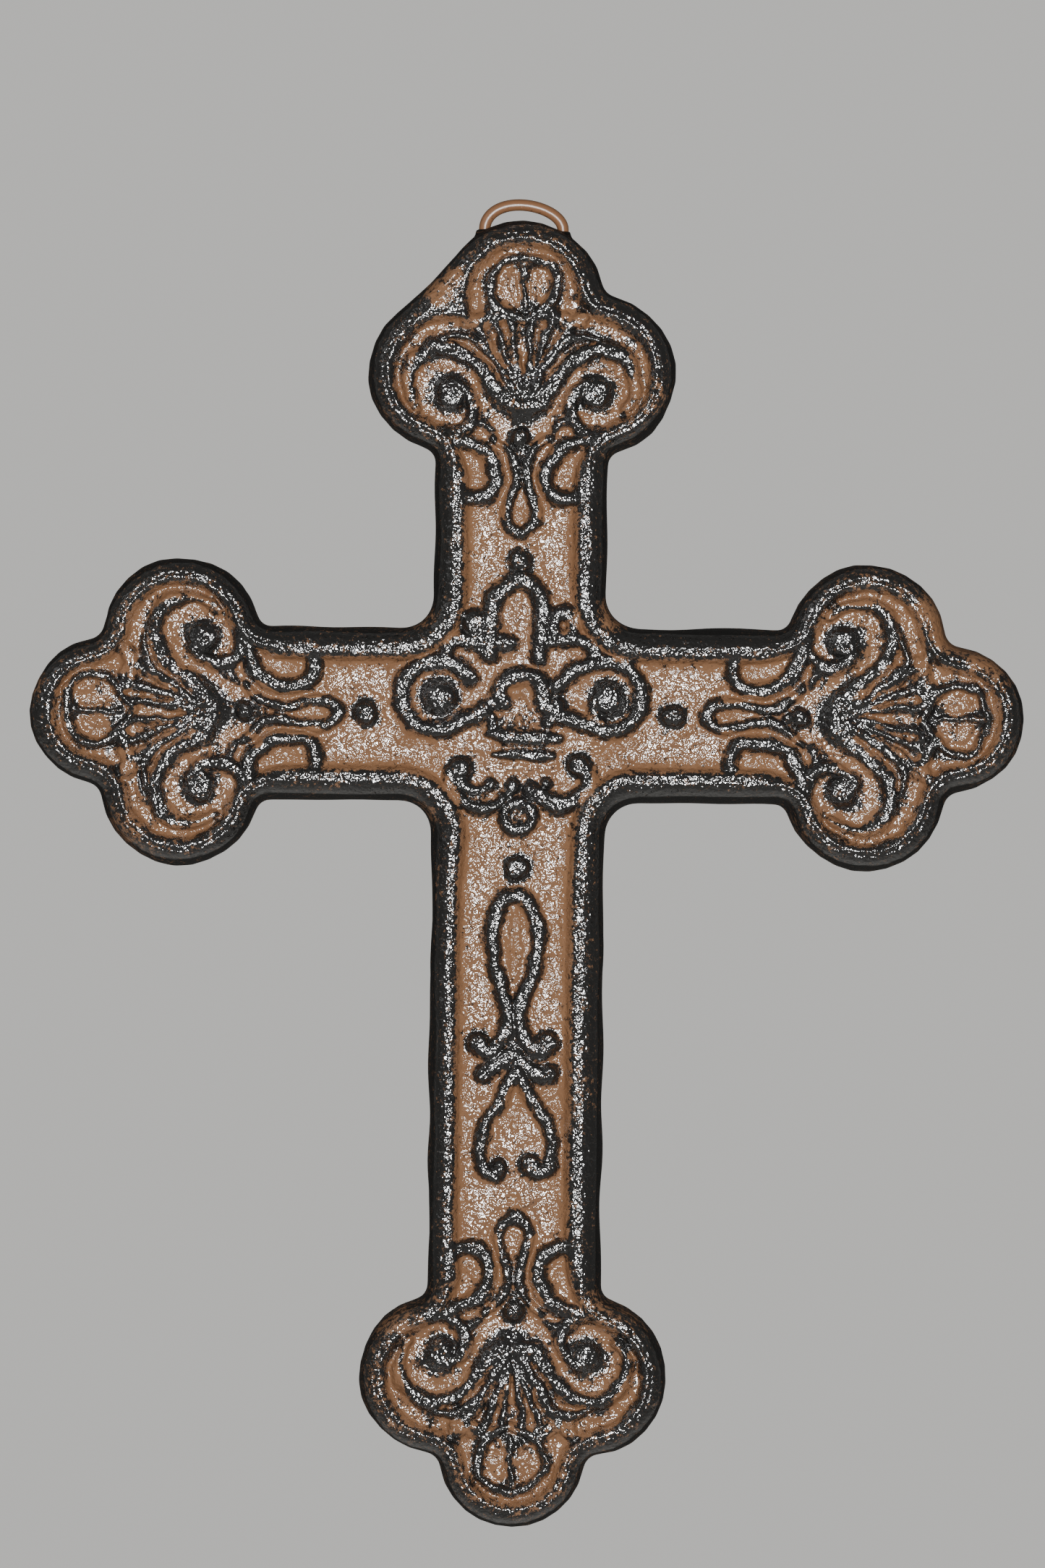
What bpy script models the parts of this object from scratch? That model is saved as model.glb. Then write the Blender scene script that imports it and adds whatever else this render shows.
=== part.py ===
"""Sand-cast wall cross with trefoil ends, raised ornament and a wire hanging loop.

The drawing values are millimetres, and the scene is in metres. X runs to the right, Z runs up,
the wall is the plane Y = 0 and the front of the cross faces -Y. The origin is in the wall plane,
level with the inside top of the loop, where a nail carries the cross.

On the face, a place is (x, z) from the middle of the crossing. On an arm, u runs across it and
v runs outwards from the crossing. Each of the four ends has the same ornament.
"""
import math
from collections import namedtuple

import bmesh
import bpy
import numpy as np
from mathutils import Vector
from mathutils.geometry import delaunay_2d_cdt

MM = 0.001

# Outline of the casting: on each arm, the distance from the crossing to the middle of the side
# lobes, and how far the tip stands beyond them
ARM_WIDTH = 30.6
TOP_SIDE_LOBES = 60.1
TOP_TIP_BEYOND = 27.3
LEFT_SIDE_LOBES = 59.7
LEFT_TIP_BEYOND = 26.8
BOTTOM_SIDE_LOBES = 116.6
BOTTOM_TIP_BEYOND = 26.8
RIGHT_SIDE_LOBES = 61.2
RIGHT_TIP_BEYOND = 28.0
END_LOBE_RADIUS = 12.9
TOP_LOBE_RADIUS = 14.2
SIDE_LOBE_RADIUS = 14.0
SIDE_LOBE_SPACING = 26.4
CROSSING_FILLET = 5.8
NECK_FILLET = 2.5
NOTCH_FILLET = 3.0
# The upper left notch of the top end was left filled with iron
FILLED_NOTCH_FILLET = 80.0

# Thickness of the casting
THICKNESS = 12.0
RELIEF_DEPTH = 2.0
WALL_HEIGHT = 6.5
WALL_DRAFT = 0.35
SHOULDER_WIDTH = 2.5
RIM_WIDTH = 2.4
RIM_CROWN = 0.2
RIM_CREST_SHARE = 0.6
RIM_SLOPE = 1.7

# Ornament
RIDGE_WIDTH = 1.7
RIDGE_RISE = 1.5
DOME_RISE = 1.7
DISH_DEPTH = 1.1
PANEL_KNOB_FROM_CROSSING = 27.0

# Hanging loop of round wire, cast into the top lobe
WIRE_DIAMETER = 2.05
LOOP_SPREAD = 13.8
LOOP_GAP = 1.5
LOOP_FROM_BACK = 2.6
LEG_DEPTH = 8.0
FIT_GAP = 0.3

# Fineness of the facets
ARC_STEP = math.radians(14.0)
RIDGE_STEP = 2.6
DOME_SIDES = 8
DOME_RING_SHARE = 0.6
SHOULDER_KNEE = math.radians(40.0)
MERGE_DISTANCE = 0.15

# The cross that the ornament was drawn on: its strokes keep their share of the arm and lobes
DRAWN_ARM_WIDTH = 30.6
DRAWN_LOBE_RADIUS = 14.0
DRAWN_TIP_RADIUS = 12.9
DRAWN_LOBE_LINE = 61.3
DRAWN_TEARDROP_TIP = 32.9
DRAWN_PANEL = (27.0, 88.6)

BROWN_BLACK = (0.105, 0.062, 0.036, 1.0)
WIRE_BROWN = (0.16, 0.085, 0.045, 1.0)

TOP_REACH = TOP_SIDE_LOBES + TOP_TIP_BEYOND
CROSSING_Z = -(TOP_REACH + LOOP_GAP)
FIELD_HEIGHT = THICKNESS - RELIEF_DEPTH


def unit(angle):
    return np.array((math.cos(angle), math.sin(angle)))


def arc(centre, radius, start, end, outward):
    """Points of an arc with their outward normals; outward is -1 on a hollow corner."""
    steps = max(2, math.ceil(abs(end - start) / ARC_STEP))
    directions = [unit(start + (end - start) * i / steps) for i in range(steps + 1)]
    return [(np.array(centre) + radius * d, outward * d) for d in directions]


def angle_to(origin, target):
    return math.atan2(target[1] - origin[1], target[0] - origin[0])


def half_end(end, notch_fillet):
    """Outline of half an end, from the arm's edge at +u round a side lobe to the tip."""
    half = ARM_WIDTH / 2
    tip_radius = end.tip_radius
    side = np.array((SIDE_LOBE_SPACING / 2, end.lobe_line))
    tip = np.array((0.0, end.lobe_line + end.tip_beyond - tip_radius))

    neck_across = half + NECK_FILLET - side[0]
    neck_along = math.sqrt((SIDE_LOBE_RADIUS + NECK_FILLET) ** 2 - neck_across ** 2)
    neck = side + np.array((neck_across, -neck_along))

    between = tip - side
    gap = np.linalg.norm(between)
    along = between / gap
    across = np.array((along[1], -along[0]))
    side_reach = SIDE_LOBE_RADIUS + notch_fillet
    tip_reach = tip_radius + notch_fillet
    share = (side_reach ** 2 - tip_reach ** 2 + gap ** 2) / (2 * gap)
    notch = side + along * share + across * math.sqrt(side_reach ** 2 - share ** 2)

    outline = arc(neck, NECK_FILLET, math.pi, angle_to(neck, side), -1)
    outline += arc(side, SIDE_LOBE_RADIUS, angle_to(side, neck), angle_to(side, notch), 1)[1:]
    notch_start = angle_to(notch, side) % (2 * math.pi)
    notch_end = angle_to(notch, tip) % (2 * math.pi)
    outline += arc(notch, notch_fillet, notch_start, notch_end, -1)[1:]
    outline += arc(tip, tip_radius, angle_to(tip, notch), math.pi / 2, 1)[1:]
    return outline


def end_outline(end):
    """Outline of one end, from the edge at +u round the three lobes to the edge at -u."""
    near = half_end(end, end.notch_fillets[0])
    far = half_end(end, end.notch_fillets[1])
    mirror = np.array((-1.0, 1.0))
    return near + [(point * mirror, normal * mirror) for point, normal in reversed(far[:-1])]


def turned(point, quarter_turns):
    """Turn a place on the top arm to another arm, a quarter turn to the left each time."""
    for _ in range(quarter_turns):
        point = np.array((-point[1], point[0]))
    return np.array(point, dtype=float)


# Each end, by its quarter turns from the top, with the fillets of its notches at +u and at -u
End = namedtuple("End", "turns lobe_line tip_beyond tip_radius notch_fillets")
EVEN_NOTCHES = (NOTCH_FILLET, NOTCH_FILLET)
ENDS = (
    End(0, TOP_SIDE_LOBES, TOP_TIP_BEYOND, TOP_LOBE_RADIUS, (NOTCH_FILLET, FILLED_NOTCH_FILLET)),
    End(1, LEFT_SIDE_LOBES, LEFT_TIP_BEYOND, END_LOBE_RADIUS, EVEN_NOTCHES),
    End(2, BOTTOM_SIDE_LOBES, BOTTOM_TIP_BEYOND, END_LOBE_RADIUS, EVEN_NOTCHES),
    End(3, RIGHT_SIDE_LOBES, RIGHT_TIP_BEYOND, END_LOBE_RADIUS, EVEN_NOTCHES),
)


def casting_outline():
    """The whole outline, anticlockwise as seen from the front, with outward normals."""
    corner = ARM_WIDTH / 2 + CROSSING_FILLET
    outline = []
    for end in ENDS:
        fillet = arc((corner, corner), CROSSING_FILLET, math.radians(270), math.radians(180), -1)
        for point, normal in fillet + end_outline(end):
            outline.append((turned(point, end.turns), turned(normal, end.turns)))
    return outline


def smooth_line(points, step=RIDGE_STEP):
    """A smooth curve through the points that a stroke of the carving is drawn with."""
    knots = [np.array(p, dtype=float) for p in points]
    knots = [2 * knots[0] - knots[1]] + knots + [2 * knots[-1] - knots[-2]]
    line = []
    for before, start, end, after in zip(knots, knots[1:], knots[2:], knots[3:]):
        pieces = max(1, round(np.linalg.norm(end - start) / step))
        for t in np.arange(pieces) / pieces:
            bend = 2 * before - 5 * start + 4 * end - after
            twist = 3 * start - before - 3 * end + after
            line.append(start + 0.5 * ((end - before) * t + bend * t * t + twist * t ** 3))
    return np.array(line + [knots[-2]])


def curl(centre, start_radius, end_radius, start_degrees, end_degrees, points=9):
    """A spiral stroke, used for the scrolls."""
    turns = np.radians(np.linspace(start_degrees, end_degrees, points))
    radii = np.linspace(start_radius, end_radius, points)
    return [np.array(centre) + r * unit(a) for r, a in zip(radii, turns)]


class Relief:
    """The ornament: ridges, domes and dishes, placed on the face of the casting."""

    def __init__(self):
        self.ridges = []
        self.domes = []
        self.dishes = []

    def ridge(self, place, points, width=RIDGE_WIDTH, rise=RIDGE_RISE):
        line = smooth_line([place(p) for p in points])
        self.ridges.append((line, width / 2, rise))

    def dome(self, place, centre, radius, rise=DOME_RISE):
        self.domes.append((place(centre), radius, rise))

    def dish(self, place, centre, radius, depth=DISH_DEPTH):
        self.dishes.append((place(centre), radius, depth))


def mirrored(place):
    return lambda point: place((-point[0], point[1]))


def carve_end(relief, end):
    """The ornament of one end, drawn on the top arm."""
    lobe_scale = SIDE_LOBE_RADIUS / DRAWN_LOBE_RADIUS
    tip_scale = END_LOBE_RADIUS / DRAWN_TIP_RADIUS
    reach = end.lobe_line + end.tip_beyond

    def place(point):
        along = end.lobe_line + (point[1] - DRAWN_LOBE_LINE) * lobe_scale
        return turned((point[0] * lobe_scale, along), end.turns)

    def tip_place(point):
        along = reach + (point[1] - DRAWN_TIP_RADIUS) * tip_scale
        return turned((point[0] * tip_scale, along), end.turns)

    horseshoe = [(0.2, -5.6), (2.8, -3.6)] + curl((0.2, 0.6), 5.7, 5.7, -20, 200, 10)
    relief.ridge(tip_place, horseshoe + [(-2.4, -3.6), (0.2, -5.6)])
    relief.ridge(tip_place, [(0.2, 6.0), (0.2, 2.0)], width=1.3, rise=1.1)
    for across in (-2.5, 2.9):
        relief.dish(tip_place, (across, 0.6), 2.2)

    for side in (place, mirrored(place)):
        eye_curl = [(12.2, 50.3), (9.8, 51.8), (8.8, 54.4), (9.4, 57.2), (11.6, 59.0)]
        relief.ridge(side, eye_curl)
        relief.dome(side, (12.9, 57.0), 2.4)
        scroll = [(18.4, 55.2), (19.8, 58.6), (19.6, 62.0), (17.2, 64.6), (13.4, 65.4), (9.8, 64.2),
                  (7.2, 61.6), (4.8, 58.4), (2.2, 56.4)]
        relief.ridge(side, scroll)
        relief.ridge(side, [(13.2, 67.4), (9.8, 67.5), (6.8, 65.8), (4.2, 62.2), (2.2, 58.6)], width=1.5)
        relief.ridge(side, [(5.4, 69.4), (3.9, 66.6), (2.3, 62.4)], width=1.4, rise=1.2)
        neck = [(13.0, 50.2), (9.6, 49.2), (6.8, 47.4), (5.0, 44.8), (4.6, 41.6), (5.6, 38.8),
                (7.6, 37.4), (9.8, 37.6), (11.3, 38.9)]
        relief.ridge(side, neck)
        relief.dish(side, (9.2, 43.2), 2.6)
        teardrop = [(0.0, DRAWN_TEARDROP_TIP), (1.9, 34.6), (2.4, 36.6), (1.8, 39.2), (1.1, 41.4),
                    (1.0, 44.4), (0.4, 46.6)]
        relief.ridge(side, teardrop, width=1.3, rise=1.3)
    relief.ridge(place, [(0.0, 57.0), (0.0, 62.0), (0.0, 68.4)], width=1.4, rise=1.2)
    relief.dome(place, (0.0, 49.6), 2.0)
    relief.dish(place, (0.0, 36.6), 1.0, depth=0.5)


def carve_crossing(relief):
    """The ornament of the crossing: a pointed arch, two large scrolls, two bars and a pendant."""
    scale = ARM_WIDTH / DRAWN_ARM_WIDTH

    def place(point):
        return np.array(point) * scale

    for side in (place, mirrored(place)):
        relief.ridge(side, [(0.0, 23.8), (2.5, 22.3), (4.3, 20.0), (4.6, 16.6), (4.5, 13.4), (4.3, 10.4)])
        relief.dome(side, (7.6, 16.3), 1.7)
        relief.ridge(side, [(5.4, 13.2), (8.0, 13.5), (10.8, 13.2), (12.7, 12.2), (13.4, 10.4)])
        large_scroll = curl((14.9, 3.1), 6.5, 6.0, 148, -118, 12)
        relief.ridge(side, [(6.9, 5.0)] + large_scroll + [(9.2, -1.0), (5.6, -0.9)])
        relief.dome(side, (14.8, 3.0), 2.5)
        relief.ridge(side, [(0.3, 6.9), (2.5, 6.2), (3.9, 4.2), (4.2, 1.2)])
        relief.dome(side, (6.0, 1.3), 1.1, rise=1.2)
        lower_scroll = [(10.0, -8.2), (12.2, -8.7), (12.9, -10.6), (12.2, -12.5), (10.3, -13.9),
                        (7.8, -14.2), (5.3, -12.9), (4.3, -11.2)]
        relief.ridge(side, lower_scroll)
        relief.dome(side, (9.8, -9.0), 1.7)
        relief.ridge(side, [(9.8, -15.4), (7.2, -16.6), (5.0, -16.6), (3.0, -15.4)])
        relief.ridge(side, [(1.5, -11.0), (1.3, -14.0)], width=1.2, rise=1.0)
    relief.ridge(place, [(-5.2, -3.9), (1.0, -3.9), (7.2, -3.9)], width=1.5)
    relief.ridge(place, [(-4.2, -7.2), (0.6, -7.2), (5.4, -7.2)], width=1.5)
    relief.dome(place, (0.0, -17.3), 2.8)


def carve_lower_arm(relief):
    """The ornament of the long lower arm: a pointed oval, two pairs of knobs and a heart."""
    across_scale = ARM_WIDTH / DRAWN_ARM_WIDTH
    pendant = BOTTOM_SIDE_LOBES - (DRAWN_LOBE_LINE - DRAWN_TEARDROP_TIP)
    stretch = (pendant - PANEL_KNOB_FROM_CROSSING) / (DRAWN_PANEL[1] - DRAWN_PANEL[0])

    def place(point):
        along = PANEL_KNOB_FROM_CROSSING + (point[1] - DRAWN_PANEL[0]) * stretch
        return turned((point[0] * across_scale, along), 2)

    for side in (place, mirrored(place)):
        oval = [(0.0, 31.6), (2.6, 33.8), (4.0, 38.6), (3.7, 43.4), (2.2, 48.0), (1.1, 52.0),
                (1.4, 55.8), (3.2, 58.6), (5.4, 58.6)]
        relief.ridge(side, oval)
        relief.dome(side, (6.1, 57.6), 1.9)
        relief.ridge(side, [(0.0, 60.2), (2.8, 61.6), (5.0, 63.0)], rise=1.2)
        relief.dome(side, (5.8, 63.3), 1.5)
        heart = [(0.5, 62.8), (2.1, 66.2), (4.2, 69.8), (5.9, 73.6), (6.4, 77.2), (5.4, 80.2), (3.2, 80.9)]
        relief.ridge(side, heart)
        relief.dome(side, (2.7, 79.3), 1.6)


def draw_relief():
    relief = Relief()
    for end in ENDS:
        carve_end(relief, end)
        relief.dome(lambda p, t=end.turns: turned(p, t), (0.0, PANEL_KNOB_FROM_CROSSING), 2.3)
    carve_crossing(relief)
    carve_lower_arm(relief)
    return relief


def distance_to_line(places, line):
    """Distance from each place to the nearest point of a line of straight pieces."""
    nearest = np.full(len(places), np.inf)
    for start, end in zip(line[:-1], line[1:]):
        along = end - start
        share = np.clip((places - start) @ along / max(along @ along, 1e-12), 0.0, 1.0)
        nearest = np.minimum(nearest, np.linalg.norm(places - start - share[:, None] * along, axis=1))
    return nearest


def rim_knots():
    """Distance in from the outline and height of the rounded shoulder and the rim."""
    shoulder = WALL_DRAFT + SHOULDER_WIDTH
    shoulder_top = THICKNESS - RIM_CROWN
    across = SHOULDER_WIDTH * (1.0 - math.cos(SHOULDER_KNEE))
    up = (shoulder_top - WALL_HEIGHT) * math.sin(SHOULDER_KNEE)
    return (
        (WALL_DRAFT, WALL_HEIGHT),
        (WALL_DRAFT + across, WALL_HEIGHT + up),
        (shoulder, shoulder_top),
        (shoulder + RIM_WIDTH * RIM_CREST_SHARE, THICKNESS),
        (shoulder + RIM_WIDTH + RIM_SLOPE, FIELD_HEIGHT),
    )


def face_height(places, outline, relief):
    """Height of the front above the wall at each place."""
    closed = np.vstack([outline, outline[:1]])
    depth_in, heights = zip(*rim_knots())
    height = np.interp(distance_to_line(places, closed), depth_in, heights)
    for centre, radius, depth in relief.dishes:
        share = np.linalg.norm(places - centre, axis=1) / radius
        height -= depth * np.clip(1.0 - share ** 2, 0.0, None)
    for centre, radius, rise in relief.domes:
        share = np.linalg.norm(places - centre, axis=1) / radius
        crown = np.sqrt(np.clip(1.0 - share ** 2, 0.0, None))
        height = np.where(share < 1.0, np.maximum(height, FIELD_HEIGHT + rise * crown), height)
    for line, half_width, rise in relief.ridges:
        share = distance_to_line(places, line) / half_width
        height = np.where(share < 1.0, np.maximum(height, FIELD_HEIGHT + rise * (1.0 - share)), height)
    return height


def ridge_foot(line, half_width):
    """The closed line round the foot of a ridge, pointed at both ends."""
    along = np.gradient(line, axis=0)
    along /= np.linalg.norm(along, axis=1)[:, None]
    across = np.column_stack((-along[:, 1], along[:, 0])) * half_width
    start = line[0] - along[0] * half_width
    end = line[-1] + along[-1] * half_width
    return np.vstack([start[None], line + across, end[None], (line - across)[::-1]])


def circle(centre, radius):
    angles = [2 * math.pi * i / DOME_SIDES for i in range(DOME_SIDES)]
    return np.array([centre + radius * unit(a) for a in angles])


class FaceLines:
    """The lines that the facets of the front keep: outline, rim, ridges, domes and dishes."""

    def __init__(self):
        self.places = []
        self.edges = []

    def add(self, line, closed):
        first = len(self.places)
        self.places.extend(tuple(p) for p in line)
        self.edges.extend((first + i, first + i + 1) for i in range(len(line) - 1))
        if closed:
            self.edges.append((first + len(line) - 1, first))


def face_lines(outline, relief):
    lines = FaceLines()
    for inset, _ in rim_knots():
        lines.add([point - normal * inset for point, normal in outline], closed=True)
    for line, half_width, _ in relief.ridges:
        lines.add(line, closed=False)
        lines.add(ridge_foot(line, half_width), closed=True)
    for centre, radius, _ in relief.domes:
        lines.add(circle(centre, radius), closed=True)
        lines.add(circle(centre, radius * DOME_RING_SHARE), closed=True)
        lines.add([centre], closed=False)
    for centre, radius, _ in relief.dishes:
        lines.add(circle(centre, radius), closed=True)
        lines.add([centre], closed=False)
    return lines


def at_height(place, height):
    """A point of the casting in the scene, in metres."""
    return Vector((place[0], -height, place[1] + CROSSING_Z)) * MM


def build_casting():
    """The casting: facets of the front, then the drafted wall and the flat back."""
    outline = casting_outline()
    relief = draw_relief()
    lines = face_lines(outline, relief)
    points = [Vector(p) for p in lines.places]
    places, _, triangles, _, _, _ = delaunay_2d_cdt(points, lines.edges, [], 1, MERGE_DISTANCE)
    places = np.array([tuple(p) for p in places])
    heights = face_height(places, np.array([point for point, _ in outline]), relief)

    work = bmesh.new()
    corners = [work.verts.new(at_height(p, h)) for p, h in zip(places, heights)]
    for triangle in triangles:
        work.faces.new([corners[i] for i in triangle])
    rim_edges = [edge for edge in work.edges if edge.is_boundary]
    wall = bmesh.ops.extrude_edge_only(work, edges=rim_edges)["geom"]
    back = [item for item in wall if isinstance(item, bmesh.types.BMVert)]
    wall_tops = np.array([point - normal * WALL_DRAFT for point, normal in outline])
    for corner in back:
        place = np.array((corner.co.x / MM, corner.co.z / MM - CROSSING_Z))
        nearest = np.argmin(np.linalg.norm(wall_tops - place, axis=1))
        corner.co = at_height(outline[nearest][0], 0.0)
    back_edges = [edge for edge in work.edges if edge.is_boundary]
    bmesh.ops.edgeloop_fill(work, edges=back_edges)
    bmesh.ops.recalc_face_normals(work, faces=work.faces)

    mesh = bpy.data.meshes.new("cross")
    work.to_mesh(mesh)
    work.free()
    casting = bpy.data.objects.new("cross", mesh)
    bpy.context.scene.collection.objects.link(casting)
    return casting


def wall_top_at(across):
    """Height of the top lobe's outline at a distance across from its middle."""
    return TOP_REACH - TOP_LOBE_RADIUS + math.sqrt(TOP_LOBE_RADIUS ** 2 - across ** 2)


def loop_points():
    """Centre line of the wire: up one leg, over the arch and down the other leg."""
    half = LOOP_SPREAD / 2
    spring = wall_top_at(half)
    crown = TOP_REACH + LOOP_GAP + WIRE_DIAMETER / 2 - spring
    foot = spring - LEG_DEPTH
    arch = [(half * math.cos(a), spring + crown * math.sin(a)) for a in np.linspace(0, math.pi, 17)]
    return [(half, foot)] + arch + [(-half, foot)]


def build_loop():
    curve = bpy.data.curves.new("hanging_loop", "CURVE")
    curve.dimensions = "3D"
    curve.bevel_depth = WIRE_DIAMETER / 2 * MM
    curve.bevel_resolution = 2
    curve.use_fill_caps = True
    route = loop_points()
    spline = curve.splines.new("POLY")
    spline.points.add(len(route) - 1)
    for target, place in zip(spline.points, route):
        target.co = (*at_height(place, LOOP_FROM_BACK), 1.0)
    loop = bpy.data.objects.new("hanging_loop", curve)
    bpy.context.scene.collection.objects.link(loop)
    return loop


def cut_sockets(casting):
    """Two blind sockets in the top lobe, one for each leg of the loop."""
    half = LOOP_SPREAD / 2
    bottom = wall_top_at(half) - LEG_DEPTH - FIT_GAP
    top = TOP_REACH + TOP_LOBE_RADIUS
    for side, name in ((-1, "left"), (1, "right")):
        bpy.ops.mesh.primitive_cylinder_add(
            vertices=12,
            radius=(WIRE_DIAMETER / 2 + FIT_GAP) * MM,
            depth=(top - bottom) * MM,
            location=at_height((side * half, (top + bottom) / 2), LOOP_FROM_BACK),
        )
        cutter = bpy.context.object
        cutter.name = f"socket_cutter_{name}"
        cutter.hide_render = True
        cutter.display_type = "WIRE"
        cut = casting.modifiers.new(f"socket_{name}", "BOOLEAN")
        cut.operation = "DIFFERENCE"
        cut.solver = "EXACT"
        cut.object = cutter


def finish(target, name, colour, roughness, metallic):
    material = bpy.data.materials.new(name)
    material.use_nodes = True
    shader = material.node_tree.nodes["Principled BSDF"]
    shader.inputs["Base Color"].default_value = colour
    shader.inputs["Roughness"].default_value = roughness
    shader.inputs["Metallic"].default_value = metallic
    target.data.materials.append(material)


def main():
    for old in list(bpy.data.objects):
        bpy.data.objects.remove(old, do_unlink=True)
    casting = build_casting()
    cut_sockets(casting)
    finish(casting, "painted cast iron", BROWN_BLACK, 0.4, 0.0)
    loop = build_loop()
    finish(loop, "painted steel wire", WIRE_BROWN, 0.4, 0.0)


main()
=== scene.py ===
"""The looks of a sand-cast wall cross: black rubbed over brown paint on raised scroll ornament."""
import math
from collections import namedtuple

import bmesh
import bpy
import numpy as np
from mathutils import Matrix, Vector, kdtree


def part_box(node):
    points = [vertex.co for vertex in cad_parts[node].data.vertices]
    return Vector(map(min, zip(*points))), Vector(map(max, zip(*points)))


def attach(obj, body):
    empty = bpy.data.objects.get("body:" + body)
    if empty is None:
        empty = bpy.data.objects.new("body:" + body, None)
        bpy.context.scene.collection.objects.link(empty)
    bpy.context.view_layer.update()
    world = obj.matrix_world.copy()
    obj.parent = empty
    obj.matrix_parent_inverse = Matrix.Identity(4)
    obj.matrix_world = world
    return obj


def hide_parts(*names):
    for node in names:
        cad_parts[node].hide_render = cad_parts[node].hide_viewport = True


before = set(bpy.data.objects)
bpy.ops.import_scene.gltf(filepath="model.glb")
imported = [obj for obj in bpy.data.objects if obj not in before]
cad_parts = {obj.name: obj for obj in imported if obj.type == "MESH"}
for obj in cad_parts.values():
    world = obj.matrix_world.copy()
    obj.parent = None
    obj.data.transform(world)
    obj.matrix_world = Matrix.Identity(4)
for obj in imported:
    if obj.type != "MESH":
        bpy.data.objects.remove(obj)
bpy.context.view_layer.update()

MM = 0.001

# Named sizes are in millimetres, and the crossing's height is measured from the frame's origin
CROSSING_Z = -88.9

# Heights above the flat back: the field, the top of the rim, where the carved front starts, and the shoulder
FIELD = 10.0
RIM_TOP = 12.0
FRONT_FROM = 6.0
SHOULDER_FOOT = 6.5
SHOULDER_RISE = 5.3

# Distances in from the outline: where the shoulder starts, how wide it is, and where the rim starts
SHOULDER_FROM = 0.35
SHOULDER_WIDTH = 2.7
RIM_FROM = 2.6

# The end that the strokes are drawn on, measured from the crossing
DRAWN_LOBE_LINE = 61.3
DRAWN_TIP_RADIUS = 12.9
KNOB_FROM_CROSSING = 27.0

# How far a ridge's foot is from its line, as a share of the width it is drawn with
RIDGE_FOOT = 1.08

# The lobes beside the filled notch of the top end, and the inset whose height the flat web takes
SIDE_LOBE_ACROSS = 13.2
SIDE_LOBE_RADIUS = 14.0
TOP_LOBE_RADIUS = 14.2
WEB_INSET = 3.3

# How deep the wire's legs are in the iron, how far the filled sockets go on past them, and the crown's lean
LEG_DEPTH = 8.0
SOCKET_PAST_LEG = 0.6
WIRE_LEAN = 0.8

# The fine mesh
VOXEL = 0.35
SMOOTH_PASSES = 12
TRIANGLE_BUDGET = 190_000

# How black the shoulder of the arms is, from 0 to 1, and the most that the rim gets
ARM_SHOULDER_BLACK = 0.98
RIM_BLACK = 0.9

# An end's quarter turns from the top, the line of its side lobes and its reach, both from the crossing,
# the shift of the ridges on its neck, the seed of its wander and how black its shoulder is
End = namedtuple("End", "turns lobe_line reach neck_shift seed shoulder_black")
ENDS = (
    End(0, 60.1, 87.4, 1.6, 1.0, 0.9),
    End(1, 59.7, 86.5, 0.0, 2.3, 0.88),
    End(2, 116.6, 143.4, 1.1, 3.9, 0.66),
    End(3, 61.2, 89.2, 0.0, 5.2, 0.88),
)

# Where the black was rubbed off again, from the crossing, and the share of it that is left in the middle
WornPatch = namedtuple("WornPatch", "x z radius black_left")
WORN_PATCHES = (
    # The web of the top end
    WornPatch(-14.6, 73.9, 3.4, 0.25),
    WornPatch(-12.0, 76.9, 2.4, 0.4),
    # The upper shoulder of the right end
    WornPatch(72.5, 19.0, 4.5, 0.45),
    WornPatch(76.0, 15.2, 5.0, 0.1),
    WornPatch(81.5, 11.5, 5.0, 0.4),
    WornPatch(85.0, 8.0, 4.5, 0.6),
    # Both sides of the lower arm, above its end
    WornPatch(-12.0, -100.5, 5.0, 0.75),
    WornPatch(13.0, -104.0, 5.0, 0.75),
    # The left end
    WornPatch(-86.0, 5.0, 4.0, 0.6),
    WornPatch(-70.0, -21.0, 5.0, 0.6),
    # Three corners of the crossing
    WornPatch(17.0, 18.0, 5.0, 0.35),
    WornPatch(-17.0, -18.0, 4.0, 0.5),
    WornPatch(-17.5, 17.5, 4.0, 0.55),
    # The side lobes of the top end
    WornPatch(23.0, 56.0, 5.0, 0.75),
    WornPatch(-25.0, 52.0, 5.0, 0.8),
)


def deselect_all():
    bpy.ops.object.select_all(action="DESELECT")


def make_active(piece):
    deselect_all()
    piece.select_set(True)
    bpy.context.view_layer.objects.active = piece


def apply_modifier(piece, kind, **settings):
    make_active(piece)
    modifier = piece.modifiers.new(kind.lower(), kind)
    for name, value in settings.items():
        setattr(modifier, name, value)
    bpy.ops.object.modifier_apply(modifier=modifier.name)


# Drawing the relief

def as_drawn(point):
    """A place given straight from the crossing: across, then up."""
    return np.array(point, dtype=float)


def turned(point, quarter_turns):
    """A place on the top arm, turned to the left by quarter turns."""
    for _ in range(quarter_turns):
        point = (-point[1], point[0])
    return np.array(point, dtype=float)


def curl(centre, start_radius, end_radius, start_degrees, end_degrees):
    """Points along part of a ring whose radius may change on the way."""
    points = 14
    angles = np.radians(np.linspace(start_degrees, end_degrees, points))
    radii = np.linspace(start_radius, end_radius, points)
    across = centre[0] + radii * np.cos(angles)
    up = centre[1] + radii * np.sin(angles)
    return list(zip(across, up))


def smooth_line(points, step=0.5):
    """A smooth curve through the points that a stroke is drawn with."""
    knots = [np.array(p, dtype=float) for p in points]
    knots = [2 * knots[0] - knots[1]] + knots + [2 * knots[-1] - knots[-2]]
    line = []
    for before, start, end, after in zip(knots, knots[1:], knots[2:], knots[3:]):
        pieces = max(1, round(np.linalg.norm(end - start) / step))
        for t in np.arange(pieces) / pieces:
            bend = 2 * before - 5 * start + 4 * end - after
            twist = 3 * start - before - 3 * end + after
            line.append(start + 0.5 * ((end - before) * t + bend * t * t + twist * t ** 3))
    return np.array(line + [knots[-2]])


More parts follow.
